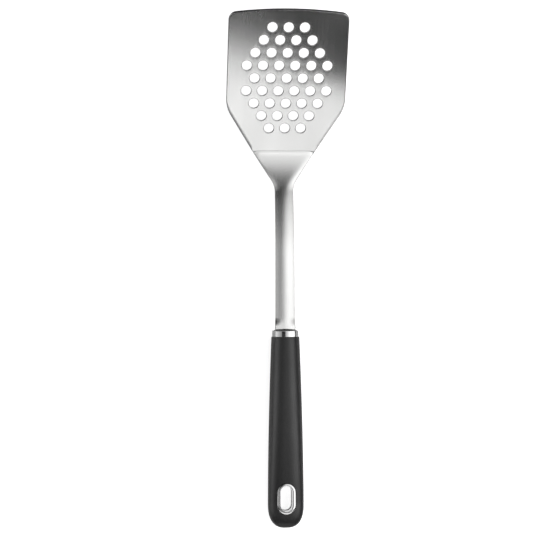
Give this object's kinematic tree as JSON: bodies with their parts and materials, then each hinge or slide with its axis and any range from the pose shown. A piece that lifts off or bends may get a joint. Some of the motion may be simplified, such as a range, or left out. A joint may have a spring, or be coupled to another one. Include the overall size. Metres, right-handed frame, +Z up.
{
  "type": "kitchen turner",
  "caption": "Kitchen turner: a pitched, perforated steel blade on a crowned stem, with a polished ring and a soft oval handle that has a metal-lined slot for hanging.",
  "frame": {"origin": "on the table, under the middle of the turner's length, as it lies face up on its heel and the belly of its handle", "axes": "+Y from the handle to the blade's tip, +Z up, +X to the right seen from above with the tip pointing away"},
  "size_m": [0.0782, 0.3367, 0.0413],
  "materials": {
    "steel": "brushed along the length",
    "chrome": "polished",
    "core": "moulded, fine matt",
    "grip": "soft touch, satin"
  },
  "bodies": {
    "root": {"blade_and_stem": "steel", "ferrule": "chrome", "handle_core": "core", "soft_grip": "grip", "eyelet_front": "chrome", "eyelet_back": "chrome"}
  },
  "joints": []
}
